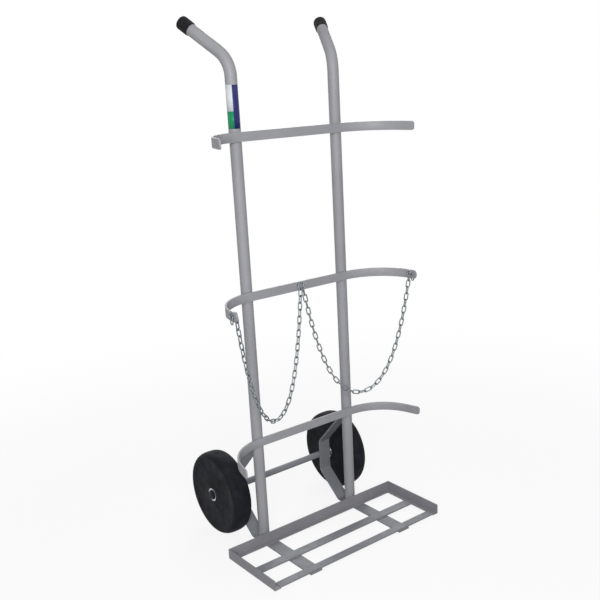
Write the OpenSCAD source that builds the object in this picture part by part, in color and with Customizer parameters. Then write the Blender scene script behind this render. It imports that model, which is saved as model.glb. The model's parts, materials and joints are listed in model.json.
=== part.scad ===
// Cart for two gas cylinders: two bent tube uprights with handles, three flat-bar
// cradles, a restraint chain for each cylinder, an angle-iron toe frame that the
// cylinders stand on, and two solid rubber wheels on a through axle.
// Millimetres. +Z is up, -Y is the cylinders' side and +Y is the wheels' side.
// The origin is on the floor, at the middle of the footprint.

/* [Uprights and handles] */
// Outer diameter of the upright tubes
tube_d = 32; // [26:0.5:38]
// Wall of the upright tubes
tube_wall = 2; // [1.5:0.5:4]
// Distance between the axes of the two uprights
upright_spacing = 335; // [300:5:370]
// Height above the floor at which the handle bends start
handle_start_h = 1330; // [1260:5:1450]
// Radius of the handle bend at the tube's axis
handle_bend_r = 76; // [60:2:110]
// Angle of the handle bend away from the upright
handle_bend_a = 55; // [35:5:80]
// Angle by which each handle splays outwards from straight back
handle_splay_a = 25; // [0:5:40]
// Straight length of a handle past its bend, with its cap
handle_l = 130; // [100:5:180]

/* [Grip caps] */
// Length of a grip cap
cap_l = 36; // [26:1:50]
// Wall of a grip cap round the tube
cap_wall = 1.4; // [1:0.2:3]
// Thickness of a grip cap's closed end
cap_end_t = 3; // [2:0.5:6]
// Clearance between a grip cap and its tube, on the radius
cap_fit = 0.1; // [0.05:0.05:0.3]
// Number of ribs round a grip cap
cap_ribs = 20; // [12:1:28]
// Diameter of a grip cap's half-round ribs
cap_rib_d = 1.6; // [1:0.2:2.4]

/* [Cradle bars] */
// Height of the flat bar of the cradles
bar_h = 25; // [20:1:30]
// Thickness of the flat bar of the cradles
bar_t = 5; // [3:0.5:6]
// Radius of a cradle at the middle of the bar's thickness
cradle_r = 143; // [120:1:150]
// Height of the top bar's centre above the floor
top_bar_h = 1179; // [1120:1:1240]
// Height of the middle bar's centre above the floor
middle_bar_h = 753; // [700:1:820]
// Height of the bottom bar's centre above the floor
bottom_bar_h = 322; // [300:1:360]
// Angle of the bends of the top and bottom bars; the middle bar's are quarter circles
cradle_bend_a = 75; // [65:1:90]
// Straight length at each end of the top bar, past its bend
top_tip_l = 42; // [10:1:60]
// Straight length at each end of the middle bar
middle_tip_l = 11; // [10:1:24]
// Straight length at each end of the bottom bar
bottom_tip_l = 48; // [10:1:60]
// Corner radius at the ends of the top and bottom bars
bar_corner_r = 8; // [2:1:9]
// Corner radius at the hook ends of the middle bar
hook_corner_r = 11; // [2:1:11.5]

/* [Chain slots and eye] */
// Width of the chain slots in the middle bar
slot_w = 6; // [5:0.5:8]
// Depth of a slot below the bar's top edge
slot_depth = 15; // [13:0.5:17]
// Distance from the bar's tip back to the bottom of a slot
slot_setback = 20.5; // [17:0.5:26]
// Slant of a slot from upright, its mouth leaning towards the uprights
slot_slant_a = 33; // [20:1:40]
// Wire diameter of the chain eye on the middle bar
eye_d = 4; // [3:0.5:5]
// Width of the eye's wire loop, between wire centres
eye_w = 18; // [17.5:0.5:22]
// Height of the eye's wire loop, between wire centres
eye_h = 19; // [16:0.5:22]
// Bend radius of the eye's wire, at the wire's centre
eye_bend_r = 4; // [3.5:0.5:5]
// Distance of the loop's upper wire centre below the bar's top edge
eye_top_gap = 4; // [3:0.5:6]

/* [Restraint chains] */
// Wire diameter of the chain
link_d = 3.5; // [3:0.1:3.8]
// Inner length of a link
link_l = 19.8; // [18.5:0.1:21]
// Inner width of a link
link_w = 7; // [6.6:0.1:7.6]
// Number of swinging links in each chain
link_count = 41; // [39:2:45]
// Play between two links
link_play = 0.25; // [0.2:0.05:0.5]
// Play between a link and the eye or the hooked link that it hangs on
hang_play = 0.5; // [0.3:0.05:0.8]
// Distance between the middle of the eye and each chain's first link
first_link_x = 5; // [4.5:0.1:5.2]
// Clearance between a link and the flat bar beside it
link_gap = 0.3; // [0.3:0.1:0.8]

/* [Axle straps] */
// Width of the flat bar of the axle straps
strap_w = 40; // [34:1:50]
// Thickness of the flat bar of the axle straps
strap_t = 5; // [4:0.5:8]
// Bend radius of the straps at the middle of their thickness
strap_bend_r = 15; // [10:1:25]
// Distance behind the uprights at which a strap leaves the floor
strap_rise_y = 36.5; // [26:0.5:50]
// Height of the axle above the strap's bend under it
strap_below_axle = 51; // [40:1:60]
// Height of the strap's bend above the axle
strap_above_axle = 53; // [40:1:70]
// Distance of the strap's upper end below the bottom bar
strap_top_gap = 10; // [6:1:30]
// Distance of the strap's front end behind the toe frame's front
strap_inset = 1; // [0:0.5:4]

/* [Wheels and axle] */
// Diameter of the wheels
wheel_d = 255; // [230:5:280]
// Width of the tyres
tyre_w = 60; // [50:1:70]
// Rounding of the tread's edges
tread_edge_r = 8; // [4:1:20]
// Diameter of the axle
axle_d = 20; // [16:0.5:24]
// Distance of the axle behind the uprights
axle_back = 136; // [125:1:150]
// Outer diameter of the steel hub sleeves
sleeve_d = 40; // [38:0.5:46]
// Wall of the hub sleeves
sleeve_wall = 5; // [3:0.5:5.5]
// Height by which a hub sleeve stands proud of the tyre, at each side
sleeve_proud = 1.7; // [0.5:0.1:4]
// Running clearance between the bush and the axle, on the radius
axle_fit = 0.05; // [0.02:0.01:0.1]
// Depth of the bush's ends below the sleeve's ends
bush_inset = 0.5; // [0.2:0.1:2]
// Thickness of the washer between strap and hub
washer_t = 3; // [2:0.5:5]
// Outer diameter of the washer
washer_d = 36; // [34:0.5:42]
// Side play of a wheel against its washer and its axle cap
side_play = 0.3; // [0.2:0.1:1]
// Clearance of the washer and the axle cap round the axle, on the radius
push_fit = 0.1; // [0.05:0.05:0.3]
// Outer diameter of the push-on axle caps
axle_cap_d = 27; // [25:0.5:29]
// Length of axle that an axle cap covers
axle_cap_grip = 4; // [3:0.5:8]
// Rise of an axle cap's dome past the axle's end
axle_cap_dome = 2.5; // [1.5:0.5:4]

/* [Toe frame] */
// Width of the toe frame
toe_w = 620; // [560:5:660]
// Depth of the toe frame, front to back
toe_depth = 228; // [210:2:260]
// Gap between the uprights and the toe frame
toe_gap = 11; // [8:0.5:20]
// Height of the angle iron's upright leg
angle_h = 30; // [25:1:40]
// Width of the angle iron's flat leg
angle_w = 20; // [16:1:30]
// Thickness of the angle iron
angle_t = 3; // [2.5:0.5:5]
// Thickness of the two flat cross rails
rail_t = 5; // [4:0.5:8]
// Width of the middle cross rail
mid_rail_w = 30; // [25:1:40]
// Distance of the middle cross rail's back edge from the toe frame's back
mid_rail_y = 100; // [80:5:120]
// Width of the front cross rail
front_rail_w = 25; // [20:1:35]
// Distance of the front cross rail's front edge behind the side rails' ends
front_rail_inset = 3; // [0:0.5:6]

/* [Hidden] */
$fn = 64;

paint = "#8f9194";
dark_paint = "#77797d";
plastic = "#1c1c20";
rubber = "#26262a";
zinc = "#7f8a90";
steel = "#c4c7ca";

// Length by which a cutting tool runs past what it cuts
over = 2;
// A bend draws a tube or bar this much thinner, and the straights beside it reach this
// far into the bend
bend_draw = 0.02;
bend_lap = 0.05;
// Number of steps in which a strap's bend is drawn
bend_steps = 10;

// Places measured from the uprights' axes
upright_x = upright_spacing / 2;
toe_back_y = -(tube_d / 2 + toe_gap);
toe_front_y = toe_back_y - toe_depth;
axle_h = wheel_d / 2;
bar_y = -(tube_d + bar_t) / 2;
cradle_y = bar_y - cradle_r;
bar_face_y = bar_y - bar_t / 2;

// The footprint runs from the toe frame's front to the back of the tyres
centre_y = (toe_front_y + axle_back + wheel_d / 2) / 2;

// Axle strap: corners of its outer surface, as [y, z], from the toe frame's front
// along the floor, up behind the uprights and back in to them
strap_back_y = axle_back - axle_d / 2;
strap_top_h = bottom_bar_h - bar_h / 2 - strap_top_gap;
strap_high_h = axle_h + strap_above_axle;
strap_lean = (strap_top_h - strap_high_h) / (strap_back_y - tube_d / 2);
strap_outline = [
    [toe_front_y + strap_inset, 0],
    [strap_rise_y, 0],
    [strap_back_y, axle_h - strap_below_axle],
    [strap_back_y, strap_high_h],
    [0, strap_top_h + strap_lean * tube_d / 2]
];

// Wheel stack along the axle, each place measured from the middle of the cart
washer_x = upright_x + strap_w / 2;
sleeve_x = washer_x + washer_t + side_play;
tyre_x = sleeve_x + sleeve_proud;
sleeve_l = tyre_w + 2 * sleeve_proud;
bush_x = sleeve_x + bush_inset;
bush_l = sleeve_l - 2 * bush_inset;
bush_d = sleeve_d - 2 * sleeve_wall;
axle_cap_x = bush_x + bush_l + side_play;
axle_end_x = axle_cap_x + axle_cap_grip;

// Slot: the bottom of its round end and the bar's middle there
slot_y = cradle_y - middle_tip_l + slot_setback;
slot_h = middle_bar_h + bar_h / 2 - slot_depth + slot_w / 2;
slot_x = upright_x + sqrt(pow(cradle_r, 2) - pow(slot_y - cradle_y, 2));

// Chain link: wire centres, and the step from one link to the next
link_r = (link_w + link_d) / 2;
link_side = link_l - link_w;
link_pitch = link_l - link_play;

// The hooked link lies across the slot, and its lower side carries the stop link
// outside the bar and the last swinging link inside it
hook_h = slot_h - slot_w / 2 + link_d / 2 + link_gap;
stop_x = upright_x + cradle_r + bar_t / 2 + link_gap + link_d / 2;
hook_x = stop_x - link_side / 2;
last_x = stop_x - link_side;

// Eye: a wire loop whose top is welded to the bar and whose foot stands off it,
// far enough for the first links' sides to pass behind
first_swing_y = bar_face_y - link_gap - link_d / 2 - link_r * cos(chain_turn_guess());
eye_top_y = bar_face_y - eye_d / 2;
eye_top_h = middle_bar_h + bar_h / 2 - eye_top_gap;
eye_tilt_a = asin((eye_top_y - first_swing_y) / eye_h);
eye_foot_h = eye_top_h - eye_h * cos(eye_tilt_a);

// Turn of the chain's upright plane from the cart's width, taken at the bar's face
function chain_turn_guess() = atan2(bar_face_y - slot_y, last_x - first_link_x);

// Ends of the swinging chain, at the centres of the wires that it hangs on
chain_start = [first_link_x, first_swing_y, eye_foot_h];
chain_end = [last_x, slot_y, hook_h];
chain_turn = atan2(chain_end[1] - chain_start[1], chain_end[0] - chain_start[0]);
chain_span = norm([chain_end[0] - chain_start[0], chain_end[1] - chain_start[1]]);
chain_drop = chain_end[2] - chain_start[2];

// Two links meet at a point midway between their wires, and the links' meeting points
// lie along the chain a pitch apart, the first and last just past the chain's ends
link_reach = (link_d + link_play) / 2;
start_l = (link_d + eye_d) / 2 + hang_play - link_reach;
end_l = link_d + hang_play - link_reach;
chain_l = link_count * link_pitch - start_l - end_l;
stop_drop = (link_l - link_d) / 2 - hang_play;

// Catenary through the chain's two ends: z = a * cosh((x - x0) / a) + constant
function sinh(u) = (exp(u) - exp(-u)) / 2;
function cosh(u) = (exp(u) + exp(-u)) / 2;
function asinh(u) = sign(u) * ln(abs(u) + sqrt(u * u + 1));
function sag_error(a) = 2 * a * sinh(chain_span / (2 * a)) - sqrt(pow(chain_l, 2) - pow(chain_drop, 2));
function bisect(low, high, steps) =
    steps == 0 ? (low + high) / 2 :
    sag_error((low + high) / 2) > 0 ? bisect((low + high) / 2, high, steps - 1) :
    bisect(low, (low + high) / 2, steps - 1);
sag_a = bisect(10, 2000, 50);
lowest_x = chain_span / 2 - sag_a * ln((chain_l + chain_drop) / (chain_l - chain_drop)) / 2;
function chain_x(s) = lowest_x + sag_a * asinh(s / sag_a - sinh(lowest_x / sag_a));
function chain_z(x) = sag_a * (cosh((x - lowest_x) / sag_a) - cosh(lowest_x / sag_a));
function meeting_point(i) =
    let (x = chain_x(i * link_pitch - start_l)) [x, 0, chain_z(x)];

// Draws its children from the uprights' axes, with the origin at the footprint's middle
module on_cart() {
    translate([0, -centre_y, 0]) children();
}

module mirrored() {
    mirror([1, 0, 0]) children();
}

// Puts its children on the right handle's axis, with +Z along it from the bend's end
module on_handle() {
    rotate([0, 0, 90 - handle_splay_a]) translate([handle_bend_r, 0, handle_start_h])
        rotate([0, handle_bend_a, 0]) translate([-handle_bend_r, 0, 0]) children();
}

// A rod of diameter d along the right upright and its handle, from height foot_h to
// a length of end_l past the handle's bend
module upright_rod(d, foot_h, end_l) {
    translate([0, 0, foot_h]) cylinder(d = d, h = handle_start_h + bend_lap - foot_h);
    rotate([0, 0, 90 - handle_splay_a])
        translate([handle_bend_r, 0, handle_start_h])
            rotate([90, 0, 180])
                rotate_extrude(angle = handle_bend_a)
                    translate([handle_bend_r, 0]) circle(d = d - bend_draw);
    on_handle() translate([0, 0, -bend_lap]) cylinder(d = d, h = end_l + bend_lap);
}

module right_upright() {
    tube_end_l = handle_l - cap_end_t;
    color(paint) on_cart()
        translate([upright_x, 0, 0]) difference() {
            upright_rod(tube_d, strap_t, tube_end_l);
            upright_rod(tube_d - 2 * tube_wall, strap_t - over, tube_end_l + over);
        }
}

module left_upright() {
    mirrored() right_upright();
}

// Plastic cap pushed over the handle's end, with half-round ribs along it
module right_grip_cap() {
    bore_r = tube_d / 2 + cap_fit;
    outer_r = bore_r + cap_wall;
    chamfer = 2;
    color(plastic) on_cart()
        translate([upright_x, 0, 0]) on_handle()
            translate([0, 0, handle_l - cap_l]) difference() {
                union() {
                    rotate_extrude() polygon([
                        [0, 0], [outer_r, 0], [outer_r, cap_l - chamfer],
                        [outer_r - chamfer, cap_l], [0, cap_l]
                    ]);
                    for (i = [0:cap_ribs - 1])
                        rotate([0, 0, i * 360 / cap_ribs])
                            translate([outer_r, 0, chamfer])
                                cylinder(d = cap_rib_d, h = cap_l - 3 * chamfer, $fn = 16);
                }
                translate([0, 0, -over]) cylinder(r = bore_r, h = cap_l - cap_end_t + over);
            }
}

module left_grip_cap() {
    mirrored() right_grip_cap();
}

// End of a cradle bar: a flat piece of length l with its two end corners rounded
module bar_tip(l, corner_r) {
    r = min(corner_r, l, bar_h / 2 - 0.5);
    rotate([90, 0, 90]) linear_extrude(bar_t) intersection() {
        translate([-l, 0]) square([l + bend_lap, bar_h]);
        union() {
            translate([-l, r]) square([l + over, bar_h - 2 * r]);
            translate([r - l, 0]) square([l + over, bar_h]);
            translate([r - l, r]) circle(r = r);
            translate([r - l, bar_h - r]) circle(r = r);
        }
    }
}

// Flat bar on edge: straight across the uprights, then a bend of angle bend_a and a
// straight tip at each side
module cradle_bar(centre_h, bend_a, tip_l, corner_r) {
    translate([0, 0, centre_h - bar_h / 2]) {
        translate([-upright_x - bend_lap, bar_y - bar_t / 2, 0])
            cube([upright_spacing + 2 * bend_lap, bar_t, bar_h]);
        for (side = [0, 1]) mirror([side, 0, 0])
            translate([upright_x, cradle_y, 0]) rotate([0, 0, 90 - bend_a]) {
                rotate_extrude(angle = bend_a)
                    translate([cradle_r - (bar_t - bend_draw) / 2, bend_draw / 2])
                        square([bar_t - bend_draw, bar_h - bend_draw]);
                translate([cradle_r - bar_t / 2, 0, 0]) bar_tip(tip_l, corner_r);
            }
    }
}

// Cutter for the right slot: its round bottom, and the way up and out of the bar
module slot_cutter() {
    reach = 2 * bar_h;
    translate([slot_x - bar_h / 2, slot_y, slot_h]) rotate([-slot_slant_a, 0, 0]) {
        rotate([0, 90, 0]) cylinder(d = slot_w, h = bar_h);
        translate([0, -slot_w / 2, 0]) cube([bar_h, slot_w, reach]);
    }
}

module top_bar() {
    color(paint) on_cart() cradle_bar(top_bar_h, cradle_bend_a, top_tip_l, bar_corner_r);
}

module middle_bar() {
    color(paint) on_cart() difference() {
        cradle_bar(middle_bar_h, 90, middle_tip_l, hook_corner_r);
        slot_cutter();
        mirrored() slot_cutter();
    }
}

module bottom_bar() {
    color(paint) on_cart()
        cradle_bar(bottom_bar_h, cradle_bend_a, bottom_tip_l, bar_corner_r);
}

// Wire loop in the XZ plane, hanging from the middle of its upper wire at the origin
module chain_eye() {
    side_x = eye_w / 2;
    bend_x = side_x - eye_bend_r;
    color(zinc) on_cart()
        translate([0, eye_top_y, eye_top_h]) rotate([-eye_tilt_a, 0, 0]) {
            for (z = [0, -eye_h]) translate([-bend_x, 0, z])
                rotate([0, 90, 0]) cylinder(d = eye_d, h = 2 * bend_x);
            for (x = [-side_x, side_x]) translate([x, 0, eye_bend_r - eye_h])
                cylinder(d = eye_d, h = eye_h - 2 * eye_bend_r);
            for (turn = [0:90:270])
                translate([0, 0, -eye_h / 2]) rotate([90, 0, 0])
                    translate(corner_place(turn, bend_x, eye_h / 2 - eye_bend_r))
                        rotate([0, 0, turn]) rotate_extrude(angle = 90)
                            translate([eye_bend_r, 0]) circle(d = eye_d, $fn = 32);
        }
}

// Centre of the corner that starts at an angle of turn, on a rectangle of half sizes x, y
function corner_place(turn, x, y) = [
    turn == 0 || turn == 270 ? x : -x,
    turn == 0 || turn == 90 ? y : -y,
    0
];

// One link, with its length along X and its width along Y
module link() {
    for (end = [0, 1]) mirror([end, 0, 0])
        translate([link_side / 2, 0, 0])
            rotate([0, 0, -90]) rotate_extrude(angle = 180)
                translate([link_r, 0]) circle(d = link_d, $fn = 32);
    for (y = [-link_r, link_r]) translate([-link_side / 2, y, 0])
        rotate([0, 90, 0]) cylinder(d = link_d, h = link_side, $fn = 32);
}

// The chain hangs in its own upright plane, and every second link is turned
// a quarter turn
module right_chain() {
    color(zinc) on_cart()
        translate(chain_start) rotate([0, 0, chain_turn])
            for (i = [0:link_count - 1]) {
                p = meeting_point(i);
                q = meeting_point(i + 1);
                translate((p + q) / 2)
                    rotate([i % 2 * 90, -atan2(q[2] - p[2], q[0] - p[0]), 0]) link();
            }
}

module left_chain() {
    mirrored() right_chain();
}

// The link that is hooked into the slot, and the stop link that hangs outside
module right_hook_links() {
    color(zinc) on_cart() {
        translate([hook_x, slot_y, hook_h])
            rotate([-slot_slant_a, 0, 0])
                translate([0, 0, link_r]) rotate([90, 0, 0]) link();
        translate([stop_x, slot_y, hook_h - stop_drop])
            rotate([0, 90, 0]) link();
    }
}

module left_hook_links() {
    mirrored() right_hook_links();
}

// Unit vector to the left of the way from p to q
function left_of(p, q) = [p[1] - q[1], q[0] - p[0]] / norm(q - p);

// Point i of a path moved sideways by d, to the left
function moved_left(path, i, d) =
    i == 0 ? path[0] + d * left_of(path[0], path[1]) :
    i == len(path) - 1 ? path[i] + d * left_of(path[i - 1], path[i]) :
    let (a = left_of(path[i - 1], path[i]), b = left_of(path[i], path[i + 1]))
        path[i] + d * (a + b) / (1 + a * b);

function heading(path, i) = atan2(path[i + 1][1] - path[i][1], path[i + 1][0] - path[i][0]);

function is_end(path, i) = i == 0 || i == len(path) - 1;

// Points along the bend at corner i, on the surface that lies a depth d under the outer
// one. Its centre is a radius r from the outer surface, to the left.
function bend_points(corners, i, r, d) =
    let (
        centre = moved_left(corners, i, r),
        start_a = heading(corners, i - 1) - 90,
        step_a = (heading(corners, i) - heading(corners, i - 1)) / bend_steps
    )
    [for (k = [0:bend_steps])
        centre + (r - d) * [cos(start_a + k * step_a), sin(start_a + k * step_a)]];

// The surface that lies a depth d under the outer one, from end to end
function surface_line(corners, r, d) = [
    for (i = [0:len(corners) - 1])
        for (p = is_end(corners, i) ? [moved_left(corners, i, d)] : bend_points(corners, i, r, d))
            p
];

// Outline of a flat bar of thickness t that only bends left. corners holds the corners
// of its outer surface, and r is the bends' radius at the middle of the thickness.
module bent_outline(corners, t, r) {
    outer = surface_line(corners, r + t / 2, 0);
    inner = surface_line(corners, r + t / 2, t);
    polygon(concat(outer, [for (i = [len(inner) - 1:-1:0]) inner[i]]));
}

// Flat bar that runs under the toe frame and the upright's foot, rises behind them to
// carry the axle and ends at the back of the upright
module right_axle_strap() {
    color(dark_paint) on_cart()
        translate([upright_x - strap_w / 2, 0, 0]) rotate([90, 0, 90])
            linear_extrude(strap_w) difference() {
                bent_outline(strap_outline, strap_t, strap_bend_r);
                translate([-tube_d / 2, strap_high_h]) square([tube_d, 2 * strap_top_h]);
            }
}

module left_axle_strap() {
    mirrored() right_axle_strap();
}

// Puts its children on the axle, with +Z along it towards the cart's right
module on_axle(x) {
    on_cart() translate([x, axle_back, axle_h]) rotate([0, 90, 0]) children();
}

module ring(outer_d, inner_d, h) {
    difference() {
        cylinder(d = outer_d, h = h);
        translate([0, 0, -over]) cylinder(d = inner_d, h = h + 2 * over);
    }
}

module axle() {
    color(dark_paint) on_axle(-axle_end_x) cylinder(d = axle_d, h = 2 * axle_end_x);
}

// Solid rubber wheel with rounded tread edges
module right_tyre() {
    r = tread_edge_r;
    wheel_r = wheel_d / 2;
    color(rubber) on_axle(tyre_x) difference() {
        rotate_extrude($fn = 128) {
            square([wheel_r - r, tyre_w]);
            translate([0, r]) square([wheel_r, tyre_w - 2 * r]);
            translate([wheel_r - r, r]) circle(r = r, $fn = 32);
            translate([wheel_r - r, tyre_w - r]) circle(r = r, $fn = 32);
        }
        translate([0, 0, -over]) cylinder(d = sleeve_d, h = tyre_w + 2 * over);
    }
}

module left_tyre() {
    mirrored() right_tyre();
}

module right_hub_sleeve() {
    color(steel) on_axle(sleeve_x) ring(sleeve_d, bush_d, sleeve_l);
}

module left_hub_sleeve() {
    mirrored() right_hub_sleeve();
}

module right_bush() {
    color(plastic) on_axle(bush_x) ring(bush_d, axle_d + 2 * axle_fit, bush_l);
}

module left_bush() {
    mirrored() right_bush();
}

module right_washer() {
    color(steel) on_axle(washer_x) ring(washer_d, axle_d + 2 * push_fit, washer_t);
}

module left_washer() {
    mirrored() right_washer();
}

// Domed cap pushed onto the axle's end, which keeps the wheel on
module right_axle_cap() {
    rim_r = axle_cap_d / 2;
    dome_r = (pow(rim_r, 2) + pow(axle_cap_dome, 2)) / (2 * axle_cap_dome);
    color(plastic) on_axle(axle_cap_x) difference() {
        union() {
            cylinder(d = axle_cap_d, h = axle_cap_grip);
            translate([0, 0, axle_cap_grip]) intersection() {
                translate([0, 0, axle_cap_dome - dome_r]) sphere(r = dome_r);
                cylinder(d = axle_cap_d, h = axle_cap_dome);
            }
        }
        translate([0, 0, -over])
            cylinder(d = axle_d + 2 * push_fit, h = axle_cap_grip + over);
    }
}

module left_axle_cap() {
    mirrored() right_axle_cap();
}

// Angle iron of length l along Z, with its flat leg along X and its upright leg along Y
module angle_iron(l) {
    linear_extrude(l) polygon([
        [0, 0], [angle_w, 0], [angle_w, angle_t],
        [angle_t, angle_t], [angle_t, angle_h], [0, angle_h]
    ]);
}

// Cutter for a mitre at the toe frame's back right corner, on one side of its diagonal
module mitre_cutter(turn) {
    reach = 3 * angle_w;
    translate([toe_w / 2, toe_back_y, strap_t - over]) rotate([0, 0, turn])
        cube([reach, reach, angle_h + 2 * over]);
}

module back_rail() {
    color(dark_paint) on_cart() difference() {
        translate([toe_w / 2, toe_back_y, strap_t]) rotate([90, 0, -90]) angle_iron(toe_w);
        mitre_cutter(225);
        mirrored() mitre_cutter(225);
    }
}

module right_side_rail() {
    color(dark_paint) on_cart() difference() {
        translate([toe_w / 2, toe_front_y, strap_t]) rotate([90, 0, 180]) angle_iron(toe_depth);
        mitre_cutter(135);
    }
}

module left_side_rail() {
    mirrored() right_side_rail();
}

// Flat rail between the side rails' flat legs, on top of the straps
module cross_rail(front_y, w) {
    inner_w = toe_w - 2 * angle_w;
    translate([-inner_w / 2, front_y, strap_t]) cube([inner_w, w, rail_t]);
}

module mid_rail() {
    color(dark_paint) on_cart() cross_rail(toe_back_y - mid_rail_y - mid_rail_w, mid_rail_w);
}

module front_rail() {
    color(dark_paint) on_cart() cross_rail(toe_front_y + front_rail_inset, front_rail_w);
}

left_upright();
right_upright();
left_grip_cap();
right_grip_cap();
top_bar();
middle_bar();
bottom_bar();
chain_eye();
left_chain();
right_chain();
left_hook_links();
right_hook_links();
left_axle_strap();
right_axle_strap();
axle();
left_tyre();
right_tyre();
left_hub_sleeve();
right_hub_sleeve();
left_bush();
right_bush();
left_washer();
right_washer();
left_axle_cap();
right_axle_cap();
back_rail();
left_side_rail();
right_side_rail();
mid_rail();
front_rail();
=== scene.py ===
"""Looks of the gas cylinder cart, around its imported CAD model. Metres, +Z up, and the
cylinders' side is -Y. The CAD nodes, the chains' links among them, get their materials, and
the flat bars and rails get softened edges. Tyres, weld beads and the label are built here."""

import json
import math

import bmesh
import bpy
from mathutils import Matrix, Vector


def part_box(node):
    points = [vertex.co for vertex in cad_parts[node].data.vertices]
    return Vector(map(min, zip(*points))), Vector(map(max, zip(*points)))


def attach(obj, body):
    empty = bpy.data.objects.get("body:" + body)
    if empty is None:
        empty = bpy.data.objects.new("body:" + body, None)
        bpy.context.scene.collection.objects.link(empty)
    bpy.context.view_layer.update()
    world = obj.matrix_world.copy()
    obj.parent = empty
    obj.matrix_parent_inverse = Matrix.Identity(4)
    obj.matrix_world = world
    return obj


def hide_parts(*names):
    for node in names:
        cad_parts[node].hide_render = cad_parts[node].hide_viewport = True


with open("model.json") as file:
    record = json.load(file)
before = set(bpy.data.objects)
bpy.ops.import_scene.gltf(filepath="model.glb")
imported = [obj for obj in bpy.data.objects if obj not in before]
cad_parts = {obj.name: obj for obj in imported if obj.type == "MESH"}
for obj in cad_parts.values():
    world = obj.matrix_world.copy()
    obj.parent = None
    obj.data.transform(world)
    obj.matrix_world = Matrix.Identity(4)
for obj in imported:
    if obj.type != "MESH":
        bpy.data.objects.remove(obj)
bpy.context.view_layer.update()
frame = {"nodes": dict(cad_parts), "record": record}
nodes = frame["nodes"]

SIDES = {"left": -1, "right": 1}

# Camera: the view that the photograph was taken from
CAMERA_AT = (-1.43891, -1.98988, 1.35232)
CAMERA_YAW = math.radians(-39.72)
CAMERA_PITCH = math.radians(-17.62)
CAMERA_ROLL = math.radians(-2.05)
IMAGE_PX = 600
FOCAL_PX = 879.49
CENTRE_PX = (354.71, 341.91)
SENSOR_MM = 36


# ---------------------------------------------------------------- material helpers

# A Mix node's colour sockets, by number, because its sockets of other kinds share their names
MIX_A, MIX_B, MIX_RESULT = 6, 7, 2


class Shader:
    """A material's node tree, with short calls to add and link its nodes."""

    def __init__(self, name):
        self.material = bpy.data.materials.new(name)
        self.material.use_nodes = True
        self.tree = self.material.node_tree
        self.principled = self.tree.nodes["Principled BSDF"]
        self.place = self.add("ShaderNodeTexCoord").outputs["Object"]

    def add(self, kind, **settings):
        """A new node, with its settings."""
        node = self.tree.nodes.new(kind)
        for key, value in settings.items():
            setattr(node, key, value)
        return node

    def link(self, output, target):
        """A link from a node's output to a socket."""
        self.tree.links.new(output, target)

    def set(self, **values):
        """Values on the shader's own sockets, whose names have _ for a space here."""
        for key, value in values.items():
            self.principled.inputs[key.replace("_", " ")].default_value = value

    def noise(self, scale, detail=3.0, stretch=(1, 1, 1)):
        """Noise from 0 to 1, with `scale` features to a metre."""
        mapping = self.add("ShaderNodeMapping")
        mapping.inputs["Scale"].default_value = stretch
        self.link(self.place, mapping.inputs["Vector"])
        node = self.add("ShaderNodeTexNoise")
        node.inputs["Scale"].default_value = scale
        node.inputs["Detail"].default_value = detail
        self.link(mapping.outputs["Vector"], node.inputs["Vector"])
        return node.outputs["Fac"]

    def ramp(self, factor, stops):
        """Colour from a factor: stops is a list of (position, colour)."""
        node = self.add("ShaderNodeValToRGB")
        elements = node.color_ramp.elements
        while len(elements) < len(stops):
            elements.new(0.5)
        for element, (position, colour) in zip(elements, stops):
            element.position = position
            element.color = (*colour, 1)
        self.link(factor, node.inputs["Fac"])
        return node.outputs["Color"]

    def remap(self, factor, low, high, from_low=0.3, from_high=0.7):
        """A factor's stretch from from_low to from_high, spread from low to high."""
        node = self.add("ShaderNodeMapRange")
        node.inputs["From Min"].default_value = from_low
        node.inputs["From Max"].default_value = from_high
        node.inputs["To Min"].default_value = low
        node.inputs["To Max"].default_value = high
        self.link(factor, node.inputs["Value"])
        return node.outputs["Result"]

    def mix(self, factor, a, b):
        """Colour a where the factor is 0 and b where it is 1."""
        node = self.add("ShaderNodeMix", data_type="RGBA")
        self.link(factor, node.inputs["Factor"])
        for socket, value in ((node.inputs[MIX_A], a), (node.inputs[MIX_B], b)):
            if isinstance(value, tuple):
                socket.default_value = (*value, 1)
            else:
                self.link(value, socket)
        return node.outputs[MIX_RESULT]

    def bump(self, *layers):
        """Each layer is (height output, depth in metres)."""
        normal = None
        for height, depth in layers:
            node = self.add("ShaderNodeBump")
            node.inputs["Distance"].default_value = depth
            self.link(height, node.inputs["Height"])
            if normal is not None:
                self.link(normal, node.inputs["Normal"])
            normal = node.outputs["Normal"]
        self.link(normal, self.principled.inputs["Normal"])


def shaded(colour, factor):
    """A colour made darker or lighter by a factor."""
    return tuple(channel * factor for channel in colour)


def painted_steel(name, colour):
    """Satin paint sprayed on steel: an even colour, faint clouds and a fine orange peel."""
    s = Shader(name)
    clouds = s.ramp(s.noise(9, 4), [(0.35, shaded(colour, 0.95)), (0.65, shaded(colour, 1.05))])
    specks = s.remap(s.noise(420, 2), 0, 0.6, 0.68, 0.74)
    s.link(s.mix(specks, clouds, shaded(colour, 0.76)), s.principled.inputs["Base Color"])
    s.link(s.remap(s.noise(60, 3), 0.42, 0.54), s.principled.inputs["Roughness"])
    s.bump((s.noise(520, 2), 0.000012), (s.noise(130, 2), 0.00003))
    s.set(Specular_IOR_Level=0.32)
    return s.material


def weld_metal(name, colour):
    """Weld beads under the same paint, glossier in places; their colour is painted shade, darker
    than the paint beside them and darker still in random patches.
    """
    s = Shader(name)
    s.link(s.ramp(s.noise(260, 4), [(0.3, shaded(colour, 0.72)), (0.7, colour)]),
           s.principled.inputs["Base Color"])
    s.link(s.remap(s.noise(300), 0.36, 0.55), s.principled.inputs["Roughness"])
    s.bump((s.noise(700, 3), 0.00012))
    return s.material


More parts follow.
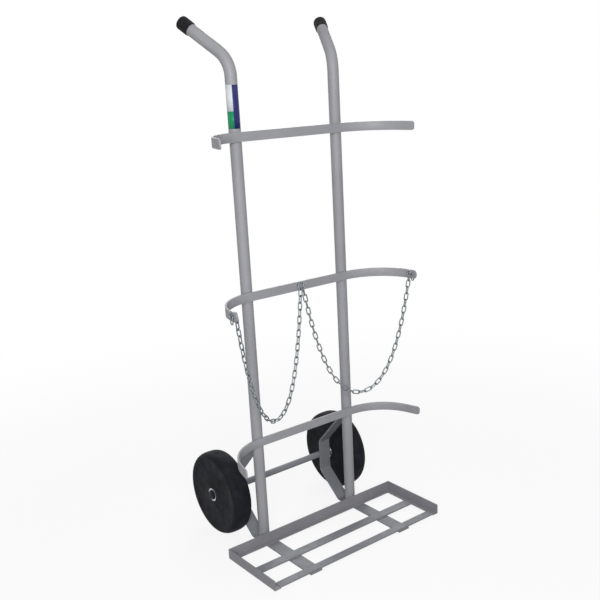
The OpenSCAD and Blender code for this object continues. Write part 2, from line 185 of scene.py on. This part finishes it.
def moulded_plastic(name, colour):
    """Black soft plastic with a fine spark-eroded grain."""
    s = Shader(name)
    s.link(s.ramp(s.noise(70, 3), [(0.3, shaded(colour, 0.8)), (0.7, shaded(colour, 1.3))]),
           s.principled.inputs["Base Color"])
    s.link(s.remap(s.noise(90), 0.48, 0.62), s.principled.inputs["Roughness"])
    s.bump((s.noise(1800, 2), 0.00002))
    s.set(Specular_IOR_Level=0.17)
    return s.material


def solid_rubber(name, colour):
    """Solid rubber: mottled black with dusty patches and a rough cast skin."""
    s = Shader(name)
    dark = shaded(colour, 0.62)
    dusty = shaded(colour, 1.9)
    patches = s.ramp(s.noise(26, 6), [(0.34, dark), (0.55, colour), (0.74, dusty)])
    specks = s.remap(s.noise(520, 3), 0, 0.6, 0.6, 0.72)
    s.link(s.mix(specks, patches, shaded(colour, 2.6)), s.principled.inputs["Base Color"])
    s.link(s.remap(s.noise(40, 4), 0.62, 0.82), s.principled.inputs["Roughness"])
    s.bump((s.noise(60, 4), 0.0004), (s.noise(640, 3), 0.00012))
    s.set(Specular_IOR_Level=0.13)
    return s.material


def zinc(name, colour):
    """Bright zinc plate on wire: bluish metal, dulled in patches."""
    s = Shader(name)
    s.link(s.ramp(s.noise(110, 4), [(0.3, shaded(colour, 0.7)), (0.7, shaded(colour, 1.12))]),
           s.principled.inputs["Base Color"])
    s.link(s.remap(s.noise(160, 3), 0.30, 0.48), s.principled.inputs["Roughness"])
    s.bump((s.noise(900, 2), 0.00002))
    s.set(Metallic=0.8)
    return s.material


def turned_steel(name, colour):
    """Bright steel with fine rings left by the lathe, which runs about the X axis."""
    s = Shader(name)
    s.link(s.ramp(s.noise(140, 4), [(0.3, shaded(colour, 0.82)), (0.7, colour)]),
           s.principled.inputs["Base Color"])
    s.link(s.remap(s.noise(220, 2, (8, 1, 1)), 0.28, 0.45), s.principled.inputs["Roughness"])
    s.bump((s.noise(1500, 1, (6, 1, 1)), 0.00003))
    s.set(Metallic=1.0)
    return s.material


def label_film(name, colour):
    """Printed film: an even colour with a satin face."""
    s = Shader(name)
    s.link(s.ramp(s.noise(120, 2), [(0.3, shaded(colour, 0.93)), (0.7, colour)]),
           s.principled.inputs["Base Color"])
    s.bump((s.noise(500, 1), 0.000008))
    s.set(Roughness=0.36, Specular_IOR_Level=0.3)
    return s.material


PAINT = (0.322, 0.324, 0.345)
TOE_PAINT = (0.254, 0.252, 0.274)
# The base paint made darker and bluer: painted shade for the flat base pieces and the axle
FLAT_SHADE_PAINT = (0.216, 0.226, 0.248)
PLASTIC = (0.0065, 0.0065, 0.0085)
RUBBER = (0.0104, 0.0112, 0.0146)
ZINC = (0.22, 0.245, 0.262)
STEEL = (0.50, 0.51, 0.53)
WELD_PAINTED_SHADE = 0.92        # brightness of a weld, as a share of the paint's beside it: painted shade, as the weld carries that paint

paint = painted_steel("frame_paint", PAINT)
toe_paint = painted_steel("base_paint", TOE_PAINT)
# A darker, bluer copy of the base paint, as painted shade
flat_shade_paint = painted_steel("base_paint_shaded_blue", FLAT_SHADE_PAINT)
# Welds in darker copies of the paint they carry: painted shade
shaded_weld_paint = weld_metal("frame_weld_shaded", shaded(PAINT, WELD_PAINTED_SHADE))
shaded_base_weld = weld_metal("base_weld_shaded", shaded(TOE_PAINT, WELD_PAINTED_SHADE))
plastic = moulded_plastic("black_plastic", PLASTIC)
rubber = solid_rubber("wheel_rubber", RUBBER)
chain_zinc = zinc("zinc_chain", ZINC)
bright_steel = turned_steel("bright_steel", STEEL)

SLOT_MATERIALS = {
    "frame_paint": paint,
    "base_paint": toe_paint,
    "black_plastic": plastic,
    "wheel_rubber": rubber,
    "zinc_chain": chain_zinc,
    "bright_steel": bright_steel,
}


# ---------------------------------------------------------------- CAD nodes

CRADLE_BARS = ["top_bar", "middle_bar", "bottom_bar"]
STRAPS = ["left_axle_strap", "right_axle_strap"]
ANGLE_RAILS = ["back_rail", "left_side_rail", "right_side_rail"]
FLAT_RAILS = ["mid_rail", "front_rail"]

# Base pieces painted in a darker, bluer copy of the base paint: painted shade and tint for how
# light falls on them, not a paint of their own
SHADED_BLUE_NODES = STRAPS + FLAT_RAILS + ["axle"]

EDGE_WIDTH = 0.0006      # width of a softened edge
EDGE_ANGLE = math.radians(40)   # edges sharper than this are softened
EDGE_MERGE = 0.00006     # points nearer than this are joined first, so that edges run through


def dress_cad_nodes():
    """Each CAD node gets the material of its slot in the record, or, for the flat base pieces and
    the axle, a darker and bluer copy of the base paint, which is painted shade.
    """
    for part in frame["record"]["subparts"]:
        name = part["node"]
        material = flat_shade_paint if name in SHADED_BLUE_NODES else SLOT_MATERIALS[part["material_slot"]]
        nodes[name].data.materials.clear()
        nodes[name].data.materials.append(material)


def soften_edges(node_names):
    """Rounds the sharp edges of CAD nodes by modifiers, so that they catch light."""
    for name in node_names:
        weld = nodes[name].modifiers.new("weld", "WELD")
        weld.merge_threshold = EDGE_MERGE
        bevel = nodes[name].modifiers.new("edges", "BEVEL")
        bevel.width = EDGE_WIDTH
        bevel.segments = 2
        bevel.limit_method = "ANGLE"
        bevel.angle_limit = EDGE_ANGLE
        bevel.harden_normals = True


dress_cad_nodes()
soften_edges(CRADLE_BARS + STRAPS + ANGLE_RAILS + FLAT_RAILS)


# ---------------------------------------------------------------- mesh helpers

def new_piece(name, bm, material, body):
    """Turns a bmesh into a piece that rides on a body."""
    bmesh.ops.recalc_face_normals(bm, faces=bm.faces)
    mesh = bpy.data.meshes.new(name)
    bm.to_mesh(mesh)
    bm.free()
    mesh.shade_smooth()
    mesh.materials.append(material)
    piece = bpy.data.objects.new(name, mesh)
    bpy.context.scene.collection.objects.link(piece)
    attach(piece, body)
    return piece


def bridge_rings(bm, rings, closed):
    """Faces between neighbouring rings of vertices; closed also joins the last to the first."""
    pairs = list(zip(rings, rings[1:]))
    if closed:
        pairs.append((rings[-1], rings[0]))
    for ring, following in pairs:
        for k in range(len(ring)):
            n = (k + 1) % len(ring)
            bm.faces.new((ring[k], ring[n], following[n], following[k]))


def node_box(name):
    """A node's lowest corner, highest corner and middle, at rest."""
    low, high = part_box(name)
    return low, high, (low + high) / 2


# ---------------------------------------------------------------- weld beads

BEAD_PITCH = 0.0022      # length of one ripple
BEAD_STEPS = 4           # rings to a ripple
BEAD_SIDES = 10
BEAD_RIPPLE = 0.16       # height of a ripple, as a share of the bead's radius
BEAD_TAPER = 0.85        # share that the section's area loses at an open bead's two ends
TAPER_RINGS = 2          # rings over which it is lost


def add_bead(bm, points, radius, closed=False):
    """A rippled weld bead along a list of points."""
    count = len(points)
    rings = []
    run = 0.0
    for i, point in enumerate(points):
        before = points[i - 1] if i or closed else point
        after = points[(i + 1) % count] if i < count - 1 or closed else point
        along = (after - before).normalized()
        run += (point - points[i - 1]).length if i else 0.0
        across = along.orthogonal().normalized()
        up = along.cross(across)
        end = 0.0 if closed else max(0.0, 1 - min(i, count - 1 - i) / TAPER_RINGS)
        ripple = 1 + BEAD_RIPPLE * math.cos(2 * math.pi * run / BEAD_PITCH)
        size = radius * ripple * math.sqrt(1 - BEAD_TAPER * end)
        ring = []
        for k in range(BEAD_SIDES):
            turn = 2 * math.pi * k / BEAD_SIDES
            out = math.cos(turn) * across + math.sin(turn) * up
            ring.append(bm.verts.new(point + size * out))
        rings.append(ring)
    bridge_rings(bm, rings, closed)
    if not closed:
        bm.faces.new(rings[0])
        bm.faces.new(rings[-1])


def straight_bead(bm, start, end, radius):
    """A bead from start to end, with rings close enough for its ripples."""
    start, end = Vector(start), Vector(end)
    steps = max(4, round((end - start).length / BEAD_PITCH * BEAD_STEPS))
    add_bead(bm, [start.lerp(end, i / steps) for i in range(steps + 1)], radius)


def round_bead(bm, centre, path_r, radius):
    """A closed bead along a level circle of radius path_r."""
    steps = round(2 * math.pi * path_r / BEAD_PITCH * BEAD_STEPS)
    turns = [2 * math.pi * i / steps for i in range(steps)]
    add_bead(bm, [Vector(centre) + path_r * Vector((math.cos(t), math.sin(t), 0)) for t in turns],
             radius, closed=True)


BEAD_R = 0.0022          # beads on the uprights and the axle
RAIL_BEAD_R = 0.0016     # along the flat rails, on the straps
BACK_BEAD_R = 0.0018     # along the back rail, on the straps
END_BEAD_R = 0.0014      # at the flat rails' ends, on the side rails
EYE_BEAD_R = 0.0016      # on the chain eye

# Gaps between a bead's middle line and the faces that it lies on
GROOVE_GAP = 0.0008      # in the grooves beside round tubes and the axle, and over the straps
CORNER_GAP = 0.0006      # round an upright's foot, and over the straps beside a rail
FACE_GAP = 0.0004        # beside a rail, and behind the chain eye
STRAP_END_SUNK = 0.0006  # the beads at a strap's upper end lie this deep in the upright's back

# Places of the two beads beside a round piece, as shares of its radius from its middle
BAR_GROOVE = 0.44
STRAP_GROOVE = 0.40
AXLE_GROOVE = 0.5

BAR_WELD_INSET = 0.001   # from the bead's ends to the edges of the bar
WELD_INSET = 0.002       # from the bead's ends to the edges of a strap or a rail
STRAP_WELD_L = 0.007     # length of the beads at a strap's upper end
RAIL_LEG_T = 0.003       # thickness of the side rails' legs
BAR_T = 0.005            # thickness of the cradle bars
EYE_WIRE_D = 0.004       # wire of the chain eye
EYE_WELD_L = 0.010       # length of its welds
EYE_WELD_DEPTHS = (0.1, 0.9)    # where they lie, in wire diameters below the eye's top

# Places on the cart's right half, measured on its nodes; the left half mirrors them
tube_low, _, _ = node_box("right_upright")
_, bar_high, _ = node_box("top_bar")
strap_low, strap_high, strap_mid = node_box("right_axle_strap")
axle_low, axle_high, axle_mid = node_box("axle")
axle_r = (axle_high.z - axle_low.z) / 2
tube_x = strap_mid.x
bar_back_y = bar_high.y
tube_r = tube_x - tube_low.x
tube_y = bar_back_y + tube_r
strap_top_z = tube_low.z


def strap_span(side):
    """Where the beads across one side's strap start and end, in X."""
    return sorted(SIDES[side] * x for x in (strap_low.x + WELD_INSET, strap_high.x - WELD_INSET))


def upright_welds(side):
    """Beads that hold the bars, the strap's upper end and the strap's foot to an upright."""
    bm = bmesh.new()
    x = SIDES[side] * tube_x
    for bar in CRADLE_BARS:
        low, high, _ = node_box(bar)
        for across in (-1, 1):
            groove_x = x + across * BAR_GROOVE * tube_r
            y = bar_back_y + GROOVE_GAP
            straight_bead(bm, (groove_x, y, low.z + BAR_WELD_INSET),
                          (groove_x, y, high.z - BAR_WELD_INSET), BEAD_R)
    for across in (-1, 1):
        groove_x = x + across * STRAP_GROOVE * tube_r
        y = tube_y + tube_r - STRAP_END_SUNK
        straight_bead(bm, (groove_x, y, strap_high.z - STRAP_WELD_L),
                      (groove_x, y, strap_high.z), BEAD_R)
    round_bead(bm, (x, tube_y, strap_top_z + GROOVE_GAP), tube_r + CORNER_GAP, BEAD_R)
    new_piece(side + "_upright_welds", bm, shaded_weld_paint, "cart_frame")


def axle_welds(side):
    """Beads above and below the axle, along the back of its strap."""
    bm = bmesh.new()
    x0, x1 = strap_span(side)
    y = axle_mid.y - axle_r + GROOVE_GAP
    for up in (-1, 1):
        z = axle_mid.z + up * AXLE_GROOVE * axle_r
        straight_bead(bm, (x0, y, z), (x1, y, z), BEAD_R)
    new_piece(side + "_axle_welds", bm, shaded_base_weld, "cart_frame")


def rail_welds(side):
    """Beads along the rails where they cross a strap, and at the flat rails' ends."""
    bm = bmesh.new()
    x0, x1 = strap_span(side)
    z = strap_top_z + CORNER_GAP
    leg_top_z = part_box("right_side_rail")[0].z + RAIL_LEG_T
    for rail in FLAT_RAILS:
        low, high, _ = node_box(rail)
        for y in (low.y - FACE_GAP, high.y + FACE_GAP):
            straight_bead(bm, (x0, y, z), (x1, y, z), RAIL_BEAD_R)
        end_x = SIDES[side] * high.x
        straight_bead(bm, (end_x, low.y + WELD_INSET, leg_top_z),
                      (end_x, high.y - WELD_INSET, leg_top_z), END_BEAD_R)
    back_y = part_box("back_rail")[1].y + FACE_GAP
    straight_bead(bm, (x0, back_y, z), (x1, back_y, z), BACK_BEAD_R)
    new_piece(side + "_rail_welds", bm, shaded_base_weld, "cart_frame")


def eye_weld():
    """Two short beads that hold the top wire of the chain eye to the middle bar."""
    bm = bmesh.new()
    _, high, mid = node_box("chain_eye")
    half_l = EYE_WELD_L / 2
    y = bar_back_y - BAR_T - FACE_GAP
    for depth in EYE_WELD_DEPTHS:
        z = high.z - depth * EYE_WIRE_D
        straight_bead(bm, (mid.x - half_l, y, z), (mid.x + half_l, y, z), EYE_BEAD_R)
    new_piece("chain_eye_weld", bm, shaded_weld_paint, "cart_frame")


for side in SIDES:
    upright_welds(side)
    axle_welds(side)
    rail_welds(side)
eye_weld()


# ---------------------------------------------------------------- tyres

TREAD_DROP = 0.012       # how far the tread's rounded edges fall towards the sides
TREAD_ROUND = 0.023      # width of each rounded edge, across the tread
ROUND_STEPS = 14         # steps across it
BORE_EDGE = 0.0006       # broken edge at the hub's bore
HUB_RING = 0.0145        # width of the raised ring round the hub
RING_SLOPE = 0.0015      # width of its outer slope, down into the recess
SIDE_RECESS = 0.0007     # depth of the flat ring in each side
RECESS_FOOT = 0.012      # the recess ends this far inside the rounded edge
RECESS_TOP = 0.010       # and has risen to the side here
MOULD_LINE = 0.0003      # height of the mould line round the tread
MOULD_FOOT = 0.0009      # half its width at the tread
MOULD_CREST = 0.0004     # half its width at its top
TYRE_STEPS = 160         # steps round the tyre


def tyre_profile(inner_r, outer_r, width):
    """Half section of a solid tyre as (radius, distance from the middle), from the hub out."""
    half = width / 2
    tread_r = outer_r - MOULD_LINE
    side_r = tread_r - TREAD_DROP
    ring_r = inner_r + HUB_RING
    points = [(inner_r, 0), (inner_r, half - BORE_EDGE), (inner_r + BORE_EDGE, half)]
    points += [(ring_r - RING_SLOPE, half), (ring_r, half - SIDE_RECESS)]
    points += [(side_r - RECESS_FOOT, half - SIDE_RECESS), (side_r - RECESS_TOP, half)]
    for i in range(ROUND_STEPS + 1):
        turn = math.pi / 2 * i / ROUND_STEPS
        points.append((side_r + TREAD_DROP * math.sin(turn),
                       half - TREAD_ROUND * (1 - math.cos(turn))))
    points += [(tread_r, MOULD_FOOT), (outer_r, MOULD_CREST), (outer_r, 0)]
    return points


def build_tyre(side):
    """Lathed solid tyre with a raised ring at the hub, a recessed side and a mould line."""
    low, high, mid = node_box(side + "_tyre")
    outer_r = (high.z - low.z) / 2
    sleeve_low, sleeve_high, _ = node_box(side + "_hub_sleeve")
    inner_r = (sleeve_high.z - sleeve_low.z) / 2
    half = tyre_profile(inner_r, outer_r, high.x - low.x)
    section = half[1:-1] + [(r, -x) for r, x in reversed(half)]
    bm = bmesh.new()
    rings = []
    for i in range(TYRE_STEPS):
        turn = 2 * math.pi * i / TYRE_STEPS
        across, up = math.cos(turn), math.sin(turn)
        rings.append([bm.verts.new((mid.x + x, mid.y + r * across, mid.z + r * up))
                      for r, x in section])
    bridge_rings(bm, rings, closed=True)
    tyre = new_piece(side + "_tyre_rubber", bm, rubber, side + "_wheel")
    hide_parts(side + "_tyre")


for side in SIDES:
    build_tyre(side)


# ---------------------------------------------------------------- label

LABEL_FOOT_Z = 1.200
LABEL_TOP_Z = 1.309
LABEL_GREEN_SHARE = 0.4  # height of the green field, as a share of the label's

# Angles round the tube, from +X towards +Y
LABEL_START = math.radians(160)
LABEL_SPLIT = math.radians(239)
LABEL_END = math.radians(305)
LABEL_STEPS = 16         # steps round each field

LABEL_LIFT = 0.00025     # how far the film reaches out of the tube's surface, and into it

label_white = label_film("label_white", (0.74, 0.77, 0.80))
label_green = label_film("label_green", (0.006, 0.27, 0.11))
label_blue = label_film("label_blue", (0.018, 0.022, 0.15))


def label_patch(name, material, start, end, foot_z, top_z):
    """A plain colour field of the label, wrapped round the left upright."""
    bm = bmesh.new()
    turns = [start + (end - start) * i / LABEL_STEPS for i in range(LABEL_STEPS + 1)]
    rings = []
    for r in (tube_r + LABEL_LIFT, tube_r - LABEL_LIFT):
        for z in (foot_z, top_z):
            rings.append([bm.verts.new((-tube_x + r * math.cos(t), tube_y + r * math.sin(t), z))
                          for t in turns])
    outer_foot, outer_top, inner_foot, inner_top = rings
    for a, b in ((outer_foot, outer_top), (outer_top, inner_top), (inner_top, inner_foot),
                 (inner_foot, outer_foot)):
        for k in range(LABEL_STEPS):
            bm.faces.new((a[k], a[k + 1], b[k + 1], b[k]))
    for k in (0, LABEL_STEPS):
        bm.faces.new((outer_foot[k], outer_top[k], inner_top[k], inner_foot[k]))
    new_piece(name, bm, material, "cart_frame")


label_green_z = LABEL_FOOT_Z + LABEL_GREEN_SHARE * (LABEL_TOP_Z - LABEL_FOOT_Z)
label_patch("label_white_field", label_white, LABEL_START, LABEL_SPLIT, label_green_z, LABEL_TOP_Z)
label_patch("label_green_field", label_green, LABEL_START, LABEL_SPLIT, LABEL_FOOT_Z, label_green_z)
label_patch("label_blue_field", label_blue, LABEL_SPLIT, LABEL_END, LABEL_FOOT_Z, LABEL_TOP_Z)


# ---------------------------------------------------------------- floor, light, camera

FLOOR_HALF = 30.0        # half the floor's width
FLOOR_SHADOW = 0.15      # share of the floor's look that its light and shadow make
SHADOW_NEAR = 0.7        # that share fades to nothing between these distances
SHADOW_FAR = 2.4
FLOOR_SEEN = 0.95        # the floor's brightness where it is seen
FLOOR_BOUNCE = 0.45      # its brightness as the object's light from below
WORLD_LIGHT = 0.27       # strength of the world's light on the object


def seen_directly(tree):
    """1 for what the camera and reflections see, and 0 for light that falls on surfaces."""
    path = tree.nodes.new("ShaderNodeLightPath")
    seen = tree.nodes.new("ShaderNodeMath")
    seen.operation = "MAXIMUM"
    tree.links.new(path.outputs["Is Camera Ray"], seen.inputs[0])
    tree.links.new(path.outputs["Is Glossy Ray"], seen.inputs[1])
    return seen.outputs[0]


def pale_floor():
    """A wide pale floor, which camera and reflections see nearly white, with the shadow."""
    bm = bmesh.new()
    corners = [bm.verts.new((x * FLOOR_HALF, y * FLOOR_HALF, 0))
               for x, y in ((-1, -1), (1, -1), (1, 1), (-1, 1))]
    bm.faces.new(corners)
    mesh = bpy.data.meshes.new("floor")
    bm.to_mesh(mesh)
    bm.free()
    floor = bpy.data.objects.new("floor", mesh)
    bpy.context.scene.collection.objects.link(floor)
    material = bpy.data.materials.new("floor")
    material.use_nodes = True
    tree = material.node_tree
    tree.nodes.clear()
    seen = seen_directly(tree)
    place = tree.nodes.new("ShaderNodeTexCoord")
    distance = tree.nodes.new("ShaderNodeVectorMath")
    distance.operation = "LENGTH"
    tree.links.new(place.outputs["Object"], distance.inputs[0])
    fade = tree.nodes.new("ShaderNodeMapRange")
    fade.interpolation_type = "SMOOTHSTEP"
    fade.inputs["From Min"].default_value = SHADOW_NEAR
    fade.inputs["From Max"].default_value = SHADOW_FAR
    fade.inputs["To Min"].default_value = 1 - FLOOR_SHADOW
    fade.inputs["To Max"].default_value = 1.0
    tree.links.new(distance.outputs["Value"], fade.inputs["Value"])
    share = tree.nodes.new("ShaderNodeMath")
    share.operation = "MULTIPLY"
    tree.links.new(seen, share.inputs[0])
    tree.links.new(fade.outputs["Result"], share.inputs[1])
    diffuse = tree.nodes.new("ShaderNodeBsdfDiffuse")
    brightness = tree.nodes.new("ShaderNodeMapRange")
    brightness.inputs["To Min"].default_value = FLOOR_BOUNCE
    brightness.inputs["To Max"].default_value = FLOOR_SEEN
    tree.links.new(seen, brightness.inputs["Value"])
    tree.links.new(brightness.outputs["Result"], diffuse.inputs["Color"])
    white = tree.nodes.new("ShaderNodeEmission")
    white.inputs["Color"].default_value = (1, 1, 1, 1)
    mix = tree.nodes.new("ShaderNodeMixShader")
    tree.links.new(share.outputs[0], mix.inputs[0])
    tree.links.new(diffuse.outputs[0], mix.inputs[1])
    tree.links.new(white.outputs[0], mix.inputs[2])
    output = tree.nodes.new("ShaderNodeOutputMaterial")
    tree.links.new(mix.outputs[0], output.inputs["Surface"])
    mesh.materials.append(material)


def white_world():
    """White where the camera and reflections see it, and a softer light on everything else."""
    world = bpy.data.worlds.new("studio")
    world.use_nodes = True
    tree = world.node_tree
    background = tree.nodes["Background"]
    background.inputs["Color"].default_value = (1, 1, 1, 1)
    strength = tree.nodes.new("ShaderNodeMapRange")
    strength.inputs["To Min"].default_value = WORLD_LIGHT
    strength.inputs["To Max"].default_value = 1.0
    tree.links.new(seen_directly(tree), strength.inputs["Value"])
    tree.links.new(strength.outputs["Result"], background.inputs["Strength"])
    bpy.context.scene.world = world


def soft_box(name, at, target, size, power):
    """A large square area lamp that points at a place."""
    lamp = bpy.data.lights.new(name, "AREA")
    lamp.shape = "SQUARE"
    lamp.size = size
    lamp.energy = power
    holder = bpy.data.objects.new(name, lamp)
    holder.location = at
    holder.rotation_euler = (Vector(target) - Vector(at)).to_track_quat("-Z", "Y").to_euler()
    bpy.context.scene.collection.objects.link(holder)


def photo_camera():
    """The camera at the photograph's place, with its lens and framing."""
    data = bpy.data.cameras.new("camera")
    data.sensor_width = SENSOR_MM
    data.lens = FOCAL_PX / IMAGE_PX * SENSOR_MM
    data.shift_x = 0.5 - CENTRE_PX[0] / IMAGE_PX
    data.shift_y = CENTRE_PX[1] / IMAGE_PX - 0.5
    data.clip_start = 0.05
    data.clip_end = 100
    camera = bpy.data.objects.new("camera", data)
    bpy.context.scene.collection.objects.link(camera)
    camera.matrix_world = (
        Matrix.Translation(CAMERA_AT)
        @ Matrix.Rotation(CAMERA_YAW, 4, "Z")
        @ Matrix.Rotation(math.pi / 2 + CAMERA_PITCH, 4, "X")
        @ Matrix.Rotation(CAMERA_ROLL, 4, "Z")
    )
    bpy.context.scene.camera = camera


pale_floor()
white_world()
soft_box("key", at=(-1.75, -2.4, 1.7), target=(0, 0, 1.15), size=1.4, power=73)
soft_box("rear", at=(1.7, 2.4, 2.2), target=(0, 0, 0.7), size=1.8, power=32)
soft_box("top", at=(0.2, -0.4, 3.4), target=(0, 0, 0.5), size=2.0, power=8)
photo_camera()
bpy.context.scene.view_settings.view_transform = "Standard"
